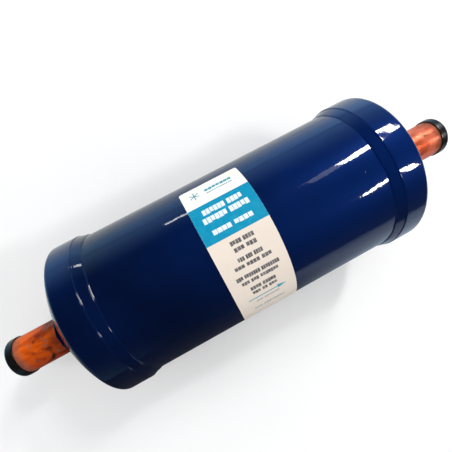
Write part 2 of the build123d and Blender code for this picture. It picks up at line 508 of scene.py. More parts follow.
@dataclass(frozen=True)
class CapPlastic(Finish):
    """Soft black polyethylene with fine mould texture and dusty scuffs."""

    title: str = "black_plastic"
    black: Colour = (0.0036, 0.0034, 0.0029)
    dusty: Colour = (0.013, 0.012, 0.010)

    def fill(self, sheet: FinishSheet) -> None:
        """Lay the plastic's nodes.

        Args:
            sheet: The material's node sheet.
        """
        dust = sheet.uneven("dust", Scale=260.0, Detail=7.0, Warp=0.8, Low=0.5, High=0.8)
        grain = sheet.uneven("mould grain", Scale=1500.0, Detail=2.0, Low=0.2, High=0.8)
        waves = sheet.uneven("shrinkage", Scale=130.0, Detail=1.0, Low=0.1, High=0.9)
        sheet.dress(
            Base_Color=sheet.blend(dust, self.black, self.dusty, "dusty black"),
            Roughness=sheet.spread(dust, 0.30, 0.48, "roughness"),
            Normal=sheet.bump((waves, 0.10), (grain, 0.008)),
        )


@dataclass(frozen=True)
class PrintedFilm(Finish):
    """Smooth label film with slight handling marks, and painted light that makes it lighter towards
    its top.
    """

    title: str = "label_film"
    ground: Colour = (0.82, 0.72, 0.625)
    soiled: Colour = (0.67, 0.595, 0.52)
    lit_top_ground: Colour = (0.95, 0.93, 0.88)
    soil_share: float = 0.4
    roughness: float = 0.42

    def fill(self, sheet: FinishSheet) -> None:
        """Lay the film's nodes.

        Args:
            sheet: The material's node sheet.
        """
        _, y, _ = sheet.place()
        grime = sheet.uneven("handling", Scale=60.0, Detail=6.0, Warp=0.5, Low=0.4, High=0.85)
        # Painted light: the film turns lighter towards its top, towards positive Y.
        top = sheet.window(y, 0.006, 0.022, "lighter top, painted light")
        ground = sheet.blend(top, self.ground, self.lit_top_ground, "film")
        lift = sheet.uneven(
            "adhesive lift", Scale=170.0, Detail=2.0, Low=0.1, High=0.9, Seed=4.0
        )
        sheet.dress(
            Base_Color=sheet.veil(grime, self.soil_share, ground, self.soiled, "handled"),
            Roughness=sheet.spread(grime, self.roughness - 0.05, self.roughness + 0.10),
            Specular_IOR_Level=0.4,
            Normal=sheet.bump((lift, 0.02)),
        )


@dataclass(frozen=True)
class Ink(Finish):
    """A printed colour on the label, slightly uneven where the film stretches."""

    colour: Colour
    worn: Colour

    def fill(self, sheet: FinishSheet) -> None:
        """Lay the ink's nodes.

        Args:
            sheet: The material's node sheet.
        """
        uneven = sheet.uneven("ink density", Scale=420.0, Detail=5.0, Low=0.35, High=0.8)
        grain = sheet.uneven("film grain", Scale=900.0, Detail=2.0, Low=0.2, High=0.8)
        sheet.dress(
            Base_Color=sheet.blend(uneven, self.colour, self.worn, "ink"),
            Roughness=sheet.spread(uneven, 0.34, 0.5),
            Specular_IOR_Level=0.15,
            Normal=sheet.bump((grain, 0.003)),
        )


@dataclass(frozen=True)
class PressedFelt(Finish):
    """Pressed fibre, off-white, with matted strands."""

    title: str = "pad_felt"
    light: Colour = (0.74, 0.70, 0.62)
    shade: Colour = (0.42, 0.38, 0.31)

    def fill(self, sheet: FinishSheet) -> None:
        """Lay the felt's nodes.

        Args:
            sheet: The material's node sheet.
        """
        strands = sheet.uneven(
            "strands", Scale=900.0, Detail=8.0, Warp=3.0, Low=0.35, High=0.7
        )
        clumps = sheet.uneven("clumps", Scale=150.0, Detail=4.0, Warp=1.0, Low=0.3, High=0.75)
        colour = sheet.blend(strands, self.shade, self.light, "strands")
        sheet.dress(
            Base_Color=sheet.veil(clumps, 0.35, colour, self.shade, "clumps"),
            Roughness=0.95,
            Sheen_Weight=0.4,
            Normal=sheet.bump((clumps, 0.5), (strands, 0.25)),
        )


@dataclass(frozen=True)
class MouldedDesiccant(Finish):
    """Bound desiccant beads, moulded into a pale porous block."""

    title: str = "desiccant"
    bead: Colour = (0.72, 0.64, 0.52)
    binder: Colour = (0.46, 0.38, 0.29)

    def fill(self, sheet: FinishSheet) -> None:
        """Lay the block's nodes.

        Args:
            sheet: The material's node sheet.
        """
        beads = sheet.specks("beads", Scale=620.0, Radius=0.75)
        pores = sheet.uneven("pores", Scale=260.0, Detail=6.0, Warp=0.4, Low=0.35, High=0.7)
        colour = sheet.blend(beads, self.binder, self.bead, "beads")
        sheet.dress(
            Base_Color=sheet.veil(pores, 0.4, colour, self.binder, "pores"),
            Roughness=0.9,
            Normal=sheet.bump((pores, 0.2), (beads, 0.35)),
        )


@dataclass(frozen=True)
class WovenWire(Finish):
    """Plain-woven wire cloth in a folded rim, its openings painted near-black as painted shade."""

    title: str = "screen_wire"
    wire: Colour = (0.52, 0.50, 0.46)
    shaded_opening: Colour = (0.045, 0.042, 0.038)
    pitch: float = 1.1
    rim_radius: float = 33.8
    rim_edge: float = 0.1

    def fill(self, sheet: FinishSheet) -> None:
        """Lay the screen's nodes: two sets of crossing wires, and the plain rim.

        Args:
            sheet: The material's node sheet.
        """
        _, y, z = sheet.place()
        masks = []
        for axis in (y, z):
            turns = sheet.maths("MULTIPLY", axis, pi / (self.pitch * MM), label="pitch")
            masks.append(sheet.maths("ABSOLUTE", sheet.maths("SINE", turns)))
        weave = sheet.maths("MAXIMUM", *masks, label="weave")
        strands = sheet.window(weave, 0.45, 0.9, "strands")
        across, up = (sheet.maths("MULTIPLY", axis, axis) for axis in (y, z))
        reach = sheet.maths("SQRT", sheet.maths("ADD", across, up), label="radius")
        rim_start = (self.rim_radius - self.rim_edge) * MM
        rim = sheet.window(reach, rim_start, self.rim_radius * MM, "rim")
        solid = sheet.maths("MAXIMUM", strands, rim)
        # The openings between the wires are painted near-black: painted shade.
        sheet.dress(
            Base_Color=sheet.blend(solid, self.shaded_opening, self.wire, "wires"),
            Metallic=sheet.spread(solid, 0.2, 0.95),
            Roughness=sheet.spread(solid, 0.8, 0.35),
            Normal=sheet.bump((solid, 0.3)),
        )


@dataclass(frozen=True)
class MillSteel(Finish):
    """Plated or oil-hardened steel with drawing marks and a slight stain."""

    title: str = "plated_steel"
    bright: Colour = (0.58, 0.56, 0.50)
    dull: Colour = (0.36, 0.34, 0.29)
    roughness: float = 0.36

    def fill(self, sheet: FinishSheet) -> None:
        """Lay the steel's nodes.

        Args:
            sheet: The material's node sheet.
        """
        stain = sheet.uneven("stain", Scale=90.0, Detail=6.0, Warp=0.7, Low=0.35, High=0.75)
        lines = sheet.uneven(
            "drawing marks", Scale=900.0, Detail=4.0, Low=0.3, High=0.7, Stretch_Round=0.15
        )
        colour = sheet.blend(stain, self.bright, self.dull, "plating")
        sheet.dress(
            Base_Color=sheet.veil(lines, 0.3, colour, self.dull, "marks"),
            Metallic=1.0,
            Roughness=sheet.spread(stain, self.roughness - 0.08, self.roughness + 0.16),
            Normal=sheet.bump((lines, 0.01)),
        )


@dataclass(frozen=True)
class StudioFloor(Finish):
    """Matt white board with the faintest mottle, and painted reflections: other tones that only
    gloss sees.
    """

    title: str = "studio_floor"
    board: Colour = (0.93, 0.93, 0.93)
    mottled: Colour = (0.915, 0.915, 0.918)
    mirrored: Colour = (0.60, 0.62, 0.58)
    mirrored_far: Colour = (0.33, 0.66, 0.98)
    mirrored_front: Colour = (0.030, 0.032, 0.042)
    mirrored_corner: Colour = (0.44, 0.54, 0.66)

    def fill(self, sheet: FinishSheet) -> None:
        """Lay the board's nodes.

        Args:
            sheet: The material's node sheet.
        """
        x, y, _ = sheet.place()
        mottle = sheet.uneven("mottle", Scale=9.0, Detail=4.0)
        board = sheet.blend(mottle, self.board, self.mottled)
        # Painted reflections: gloss sees the board dark in front of the drier, and pale blue far
        # behind and beside it.
        front = sheet.window(y, 0.03, -0.06, "front of the drier")
        far_behind = sheet.window(y, 0.05, 0.30, "far behind")
        far_beside = sheet.window(x, -0.13, -0.30, "far beside")
        far = sheet.maths("MAXIMUM", far_behind, far_beside, label="far away")
        corner = sheet.window(x, -0.02, 0.14, "outlet corner")
        behind = sheet.blend(far, self.mirrored, self.mirrored_far, "behind")
        before = sheet.blend(corner, self.mirrored_front, self.mirrored_corner, "before")
        mirrored = sheet.blend(front, behind, before, "seen in gloss")
        glossy = sheet.node("LightPath").outputs["Is Glossy Ray"]
        sheet.dress(Base_Color=sheet.blend(glossy, board, mirrored, "floor"), Roughness=0.9)


ENAMEL = BlueEnamel()
INLET_COPPER = SweatCopper(
    title="inlet_copper",
    fresh=(0.84, 0.125, 0.004),
    warm=(0.24, 0.014, 0.0015),
    oxide=(0.030, 0.012, 0.008),
    tarnish=(0.20, 0.13, 0.095),
    joint_x=101.0,
    oxide_low=0.55,
    film_low=0.56,
    blotch_scale=105.0,
    painted_shade_below=0.7,
    metal=0.15,
    joint_stain=0.45,
)
OUTLET_COPPER = SweatCopper()
CAP_PLASTIC = CapPlastic()
FILM = PrintedFilm()
BAND_INK = Ink("ink_cyan", colour=(0.0, 0.265, 0.455), worn=(0.008, 0.31, 0.50))
WHITE_INK = Ink("ink_white", colour=(0.80, 0.86, 0.88), worn=(0.60, 0.76, 0.82))
GREY_INK = Ink("ink_grey", colour=(0.10, 0.095, 0.10), worn=(0.24, 0.225, 0.22))
TEAL_INK = Ink("ink_teal", colour=(0.02, 0.30, 0.42), worn=(0.12, 0.42, 0.50))
PALE_INK = Ink("ink_pale", colour=(0.42, 0.45, 0.45), worn=(0.58, 0.60, 0.58))


# --- mesh helpers ---


MERGE_DISTANCE = 1e-7
RIPPLE_REACH = 1.6


class ProfilePen:
    """Draws a profile in the X and radius plane, and turns it on the X axis.

    Places and radii are in millimetres.
    """

    def __init__(self, x: float, radius: float) -> None:
        """Put the pen down.

        Args:
            x: The first point's place on the axis.
            radius: The first point's radius.
        """
        self.mesh = bmesh.new()
        self.first = self.mesh.verts.new((x * MM, radius * MM, 0.0))
        self.tip = self.first

    def line(self, x: float, radius: float, pieces: int = 1) -> "ProfilePen":
        """Draw a straight line.

        Args:
            x: The end's place on the axis.
            radius: The end's radius.
            pieces: How many pieces the line has.

        Returns:
            The pen.
        """
        start = self.tip.co.copy()
        end = Vector((x * MM, radius * MM, 0.0))
        for step in range(1, pieces + 1):
            grown = bmesh.ops.extrude_vert_indiv(self.mesh, verts=[self.tip])
            self.tip = grown["verts"][0]
            self.tip.co = start.lerp(end, step / pieces)
        return self

    def arc(self, centre: Point, turn: float, pieces: int) -> "ProfilePen":
        """Draw an arc.

        Args:
            centre: The arc's centre, as its X and radius.
            turn: How far it goes round, in degrees, from X towards the radius.
            pieces: How many pieces the arc has.

        Returns:
            The pen.
        """
        last = bmesh.ops.spin(
            self.mesh, geom=[self.tip], cent=(centre[0] * MM, centre[1] * MM, 0.0),
            axis=(0.0, 0.0, 1.0), angle=radians(turn), steps=pieces, use_merge=False,
            use_duplicate=False,
        )["geom_last"]
        self.tip = next(item for item in last if isinstance(item, bmesh.types.BMVert))
        return self

    def close(self) -> "ProfilePen":
        """Join the tip to the first point."""
        self.mesh.edges.new((self.tip, self.first))
        return self

    def turned(self, steps: int = 256) -> Mesh:
        """Turn the profile into a closed ring round the X axis.

        Args:
            steps: How many steps go round.

        Returns:
            The turned mesh.
        """
        bmesh.ops.spin(
            self.mesh, geom=[*self.mesh.verts, *self.mesh.edges], cent=(0.0, 0.0, 0.0),
            axis=(1.0, 0.0, 0.0), angle=2 * pi, steps=steps, use_merge=True, use_duplicate=False,
        )
        bmesh.ops.remove_doubles(self.mesh, verts=self.mesh.verts, dist=MERGE_DISTANCE)
        bmesh.ops.recalc_face_normals(self.mesh, faces=self.mesh.faces)
        return self.mesh


@dataclass
class Workshop:
    """Makes finished objects from meshes and puts them on the frame."""

    sharp_from: float = 32.0

    def finish_piece(
        self,
        name: str,
        mesh: Mesh,
        finish: Finish,
        slot: str,
        nodes: Sequence[str] = (),
        body: Body = Body.DRIER,
    ) -> None:
        """Turn a mesh into a finished piece.

        Args:
            name: The piece's name.
            mesh: Its mesh, in place.
            finish: Its finish.
            slot: Not used.
            nodes: The frame's nodes that it stands for.
            body: The body that it moves with.
        """
        for edge in mesh.edges:
            if len(edge.link_faces) == 2:
                edge.smooth = edge.calc_face_angle(0.0) < radians(self.sharp_from)
        data = bpy.data.meshes.new(name)
        mesh.to_mesh(data)
        mesh.free()
        data.polygons.foreach_set("use_smooth", [True] * len(data.polygons))
        data.materials.append(finish.material())
        piece = bpy.data.objects.new(name, data)
        bpy.context.scene.collection.objects.link(piece)
        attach(piece, body.value)
        if nodes:
            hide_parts(*nodes)
        LOG.info("%s: %d faces, %s", name, len(data.polygons), finish.title)

    def dress_node(self, node: str, finish: Finish, slot: str) -> None:
        """Give a carried-over node its finish.

        Args:
            node: The frame's node.
            finish: Its finish.
            slot: Not used.
        """
        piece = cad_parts[node]
        piece.data.materials.clear()
        piece.data.materials.append(finish.material())
        LOG.info("%s: carried over, %s", node, finish.title)


def to_end(mesh: Mesh, end: End) -> Mesh:
    """Put a mesh that was built at the outlet at its own end.

    Args:
        mesh: The mesh, built at the outlet.
        end: The end that it belongs to.

    Returns:
        The mesh, mirrored for the inlet.
    """
    if end is End.INLET:
        bmesh.ops.scale(mesh, vec=(-1.0, 1.0, 1.0), verts=mesh.verts)
        bmesh.ops.reverse_faces(mesh, faces=mesh.faces)
    return mesh


def ripple(angle: float, seed: int, waves: Sequence[int] = (2, 3, 5, 8, 13, 21)) -> float:
    """Give a smooth wander round the drier that closes on itself.

    Args:
        angle: The angle round the axis.
        seed: Which wander.
        waves: How many waves each part has in a turn.

    Returns:
        A value from about -1 to 1.
    """
    chance = random.Random(seed)
    total = 0.0
    weight = 0.0
    for count in waves:
        share = 1.0 / sqrt(count)
        total += share * sin(count * angle + chance.uniform(0.0, 2 * pi))
        weight += share
    return RIPPLE_REACH * total / weight


def smooth_step(share: float) -> float:
    """Give a step that climbs smoothly from 0 to 1."""
    share = min(max(share, 0.0), 1.0)
    return share * share * (3.0 - 2.0 * share)


# --- painted body ---


@dataclass
class PaintedBody:
    """The steel shell, its two drawn end caps and the lap welds, under one coat of paint."""

    shop: Workshop
    radius: float = 38.1
    wall: float = 2.0
    half_length: float = 79.0
    cap_radius: float = 39.998
    cap_wall: float = 1.8
    skirt_edge: float = 71.2
    knuckle_start: float = 80.25
    knuckle: float = 1.9
    crown: float = 64.5
    neck: float = 9.575
    neck_length: float = 4.0
    neck_bend: float = 1.2
    toe: float = 64.9
    toe_wander: float = 0.55
    shoulder: float = 70.3
    shoulder_wander: float = 0.55
    toe_share: float = 0.13
    step_rise: float = 0.15
    root_depth: float = 0.3
    shoulder_back: float = 0.35
    belly: float = 0.035
    toe_sink: float = 0.02
    weld_pieces: int = 40
    weld_steps: int = 360

    @property
    def crown_centre(self) -> float:
        """Where the crown's centre lies on the axis."""
        reach = self.crown - self.knuckle
        return self.knuckle_start - sqrt(reach**2 - (self.cap_radius - self.knuckle) ** 2)

    def make(self) -> None:
        """Make the shell, the end caps and the welds."""
        slot = "blue_enamel"
        self.shop.finish_piece("painted_shell", self.shell(), ENAMEL, slot, ["shell_tube"])
        for end, seed in ((End.INLET, 7), (End.OUTLET, 11)):
            name = end.name.lower()
            cap = to_end(self.end_cap(), end)
            self.shop.finish_piece(f"{name}_painted_cap", cap, ENAMEL, slot, [f"{name}_end_cap"])
            weld = to_end(self.weld(seed), end)
            self.shop.finish_piece(
                f"{name}_painted_weld", weld, ENAMEL, slot, [f"{name}_lap_weld"]
            )

    def shell(self) -> Mesh:
        """Build the plain tube.

        Returns:
            Its mesh.
        """
        inner = self.radius - self.wall
        pen = ProfilePen(-self.half_length, inner)
        pen.line(-self.half_length, self.radius)
        pen.line(self.half_length, self.radius, pieces=12)
        pen.line(self.half_length, inner).close()
        return pen.turned()

    def end_cap(self) -> Mesh:
        """Build a drawn cap with its skirt, knuckle, crown and turned-in neck.

        Returns:
            The outlet cap's mesh.
        """
        knuckle_centre = (self.knuckle_start, self.cap_radius - self.knuckle)
        centre = (self.crown_centre, 0.0)
        knuckle_turn = degrees(atan2(knuckle_centre[1], knuckle_centre[0] - self.crown_centre))
        inner_crown = self.crown - self.cap_wall
        inner_neck_radius = self.neck + self.cap_wall
        neck_end = self._crown_x(self.neck, inner_crown) - self.neck_length
        pen = ProfilePen(neck_end, self.neck)
        bend_centre, bend_meet = self._bend()
        pen.line(bend_centre[0], self.neck)
        pen.arc(bend_centre, 90.0 + degrees(bend_meet), 8)
        pen.arc(centre, knuckle_turn - degrees(bend_meet), 40)
        pen.arc(knuckle_centre, 90.0 - knuckle_turn, 14)
        pen.line(self.skirt_edge, self.cap_radius, pieces=3)
        pen.line(self.skirt_edge, self.cap_radius - self.cap_wall)
        pen.line(self.knuckle_start, self.cap_radius - self.cap_wall, pieces=3)
        pen.arc(knuckle_centre, -(90.0 - knuckle_turn), 6)
        inner_meet = atan2(inner_neck_radius, sqrt(inner_crown**2 - inner_neck_radius**2))
        pen.arc(centre, degrees(inner_meet) - knuckle_turn, 24)
        pen.line(neck_end, inner_neck_radius).close()
        return pen.turned()

    def weld(self, seed: int) -> Mesh:
        """Build a painted bead whose toe and shoulder wander round the drier.

        Args:
            seed: Which wander.

        Returns:
            The outlet weld's mesh.
        """
        root = self.radius - self.root_depth
        pen = ProfilePen(self.skirt_edge, root)
        pen.line(self.toe, root)
        pen.line(self.toe, self.radius)
        pen.line(self.skirt_edge, self.radius, pieces=self.weld_pieces).close()
        mesh = pen.turned(self.weld_steps)
        rise = self.cap_radius - self.radius
        for vert in mesh.verts:
            x = vert.co.x / MM
            reach = hypot(vert.co.y, vert.co.z) / MM
            angle = atan2(vert.co.y, vert.co.z)
            share = (x - self.toe) / (self.skirt_edge - self.toe)
            toe = self.toe + self.toe_wander * ripple(angle, seed)
            shoulder = self.shoulder + self.shoulder_wander * ripple(angle, seed + 1)
            shoulder -= self.shoulder_back
            place = toe + share * (self.skirt_edge - toe)
            vert.co.x = place * MM
            if reach < self.radius - 0.1:
                continue
            climb = min(max((place - toe) / (shoulder - toe), 0.0), 1.0)
            belly = self.belly * sin(pi * climb) * (1.0 + ripple(angle, seed + 2, (7, 12, 19)))
            grown = self.radius + min(rise * self._slope(climb) + belly, rise)
            if share < 1e-6:
                grown -= self.toe_sink
            vert.co.y *= grown / reach
            vert.co.z *= grown / reach
        return mesh

    def _slope(self, climb: float) -> float:
        """Give the bead's height along its slope, steep at its toe and under the skirt's edge.

        Args:
            climb: The share of the way up.

        Returns:
            The share of the rise.
        """
        toe = self.toe_share
        first = smooth_step(climb / toe)
        last = smooth_step((climb - (1.0 - toe)) / toe)
        middle = 1.0 - 2.0 * self.step_rise
        return self.step_rise * first + middle * climb + self.step_rise * last

    def _crown_x(self, radius: float, crown: float) -> float:
        """Give the crown's place at a radius."""
        return self.crown_centre + sqrt(crown**2 - radius**2)

    def _bend(self) -> tuple[Point, float]:
        """Find the bend that joins the neck to the crown.

        Returns:
            The bend's centre, and the angle round the crown's centre where they meet.
        """
        height = self.neck + self.neck_bend
        reach = sqrt((self.crown - self.neck_bend) ** 2 - height**2)
        return (self.crown_centre + reach, height), atan2(height, reach)


# --- sockets ---


@dataclass
class SweatSocket:
    """A copper stub with a solder socket, the painted braze ring at its foot, and a dust cap."""

    shop: Workshop
    end: End
    outer: float = 9.525
    socket: float = 8.0
    bore: float = 7.0
    depth: float = 14.0
    start: float = 86.5
    mouth: float = 125.45
    braze_end: float = 98.5
    chamfer: float = 0.4
    crown: float = 64.5
    crown_centre: float = 30.58
    paint_proud: float = 0.30
    paint_reach: float = 101.6
    paint_sink: float = 0.05
    paint_film: float = 0.02
    braze_foot: float = 1.6
    braze_root: float = 0.15
    braze_tuck: float = 0.25
    braze_edge: Point = (0.4, 0.1)
    run_edge: Point = (0.35, 0.08)
    braze_slack: float = 0.45
    run_lap: float = 1.2
    run_slack: float = 0.55
    cap_outer: float = 10.125
    cap_start: float = 122.0
    cap_face: float = 126.4
    cap_round: float = 1.4
    cap_gap: float = 0.05
    cap_floor: float = 0.9
    cap_lip: float = 0.14

    def make(self) -> None:
        """Make the stub, its braze ring and its dust cap."""
        name = self.end.name.lower()
        inlet = self.end is End.INLET
        self.read_frame(name)
        self.finish(
            "copper_stub", self.stub(), INLET_COPPER if inlet else OUTLET_COPPER, f"{name}_copper",
            [f"{name}_stub"],
        )
        braze = self.braze(21 if inlet else 31)
        self.finish("painted_braze", braze, ENAMEL, "blue_enamel", [f"{name}_braze_ring"])
        if inlet:
            self.finish("paint_run", self.paint_run(41), ENAMEL, "blue_enamel")
        self.finish(
            "dust_cap_moulded", self.dust_cap(), CAP_PLASTIC, "black_plastic",
            [f"{name}_dust_cap"], Body.INLET_CAP if inlet else Body.OUTLET_CAP,
        )

    def finish(self, title: str, mesh: Mesh, *dress: object) -> None:
        """Put a piece at this socket's end and finish it."""
        self.shop.finish_piece(f"{self.end.name.lower()}_{title}", to_end(mesh, self.end), *dress)

    def read_frame(self, name: str) -> None:
        """Take the ends of the stub, the cap and the braze ring from the frame.

        Args:
            name: The end's name in the frame.
        """
        self.start, self.mouth = self._reach(f"{name}_stub")
        self.cap_start, self.cap_face = self._reach(f"{name}_dust_cap")
        self.braze_end = self._reach(f"{name}_braze_ring")[1]

    @staticmethod
    def _reach(node: str) -> list[float]:
        """Give how far from the middle a node starts and ends, in millimetres."""
        low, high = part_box(node)
        return sorted((abs(low.x) / MM, abs(high.x) / MM))

    def stub(self) -> Mesh:
        """Build the stub with its stepped bore.

        Returns:
            The outlet stub's mesh.
        """
        pen = ProfilePen(self.start, self.bore)
        pen.line(self.start, self.outer)
        pen.line(self.mouth - self.chamfer, self.outer, pieces=24)
        pen.line(self.mouth, self.outer - self.chamfer)
        pen.line(self.mouth, self.socket + self.chamfer)
        pen.line(self.mouth - self.chamfer, self.socket)
        pen.line(self.mouth - self.depth, self.socket, pieces=4)
        pen.line(self.mouth - self.depth, self.bore).close()
        return pen.turned(128)

    def braze(self, seed: int) -> Mesh:
        """Build the painted ring whose edge wanders up the copper.

        Args:
            seed: Which wander.

        Returns:
            The outlet ring's mesh.
        """
        limit = self.braze_end
        proud = self.paint_proud
        spread = self.braze_foot
        base_radius = self.outer + proud + spread
        base_x = self.crown_centre + sqrt(self.crown**2 - base_radius**2)
        pen = ProfilePen(base_x - self.braze_root, self.outer - self.paint_sink)
        pen.line(base_x - self.braze_tuck, base_radius)
        pen.line(base_x + self.paint_film, base_radius)
        pen.arc((base_x + self.paint_film + spread, base_radius), 90.0, 10)
        pen.line(limit - self.braze_edge[0], self.outer + proud, pieces=8)
        pen.line(limit - self.braze_edge[1], self.outer + 0.5 * proud)
        pen.line(limit, self.outer + self.paint_film)
        pen.line(limit - self.paint_sink, self.outer - self.paint_sink).close()
        mesh = pen.turned(160)
        wander = (seed, (1, 2, 3, 5, 9))
        self._draw_back(mesh, base_x + spread, limit, self.braze_slack, wander)
        return mesh

    @staticmethod
    def _draw_back(
        mesh: Mesh, foot: float, reach: float, slack: float, wander: tuple[int, Sequence[int]]
    ) -> None:
        """Draw a painted edge back by an amount that wanders round the copper.

        Args:
            mesh: The painted ring, built at the outlet.
            foot: Where the ring starts to give, in millimetres.
            reach: Where its edge is.
            slack: How far the edge is drawn back on average.
            wander: The ripple's seed and waves.
        """
        for vert in mesh.verts:
            x = vert.co.x / MM
            if x <= foot:
                continue
            angle = atan2(vert.co.y, vert.co.z)
            share = (x - foot) / (reach - foot)
            vert.co.x -= max(slack * (1.0 + ripple(angle, *wander)), 0.0) * share * MM

    def paint_run(self, seed: int) -> Mesh:
        """Build the coat of paint that runs from the braze ring along the copper.

        Args:
            seed: Which wander its edge has.

        Returns:
            The outlet coat's mesh.
        """
        foot = self.braze_end - self.run_lap
        top = self.outer + self.paint_proud
        under = self.outer - self.paint_sink
        pen = ProfilePen(foot, under)
        pen.line(foot, top - self.paint_film)
        pen.line(self.paint_reach - self.run_edge[0], top, pieces=12)
        pen.line(self.paint_reach - self.run_edge[1], self.outer + 0.55 * self.paint_proud)
        pen.line(self.paint_reach, self.outer + self.paint_film)
        pen.line(self.paint_reach - self.paint_film, under).close()
        mesh = pen.turned(192)
        wander = (seed, (1, 2, 3, 4, 7, 11))
        self._draw_back(mesh, foot, self.paint_reach, self.run_slack, wander)
        return mesh

    def dust_cap(self) -> Mesh:
        """Build the push-on cap with its rounded end.

        Returns:
            The outlet cap's mesh.
        """
        inner = self.outer + self.cap_gap
        lip = self.cap_lip
        pen = ProfilePen(self.cap_start + lip, inner)
        pen.arc((self.cap_start + lip, inner + lip), -90.0, 4)
        pen.line(self.cap_start, self.cap_outer - lip)
        pen.arc((self.cap_start + lip, self.cap_outer - lip), -90.0, 4)
        pen.line(self.cap_face - self.cap_round, self.cap_outer, pieces=4)
        round_centre = (self.cap_face - self.cap_round, self.cap_outer - self.cap_round)
        pen.arc(round_centre, -90.0, 12)
        pen.line(self.cap_face, 0.0, pieces=4)
        floor_x = self.cap_face - self.cap_floor
        pen.line(floor_x, 0.0)
        pen.line(floor_x, inner).close()
        return pen.turned(160)


# --- label ---


HEADING_ROWS = (
    (26.1, 9.3, 2.7, (6, 4)),
    (20.1, 10.7, 2.7, (6, 5)),
    (11.1, 9.4, 2.1, (4, 4)),
)
DETAIL_ROWS = (
    (0.0, 5.5, 1.9, (4, 4)),
    (-4.7, 5.2, 1.9, (3, 3)),
    (-11.3, 5.8, 1.9, (3, 3, 4)),
    (-15.9, 8.7, 1.7, (3, 4, 3)),
    (-22.9, 10.2, 1.9, (3, 7, 8)),
    (-27.3, 8.8, 1.7, (3, 3, 7)),
    (-33.5, 6.2, 1.9, (4, 5)),
    (-37.6, 6.0, 1.7, (3, 2, 3)),
)
TITLE_ROWS = ((43.6, 6.6, 1.6, (7,), 3.2), (40.2, 6.3, 0.55, (11,), 3.2))
FAINT_ROWS = ((-47.1, 5.9, 1.3, (4, 9)), (-55.5, 8.0, 1.9, (3, 8)))


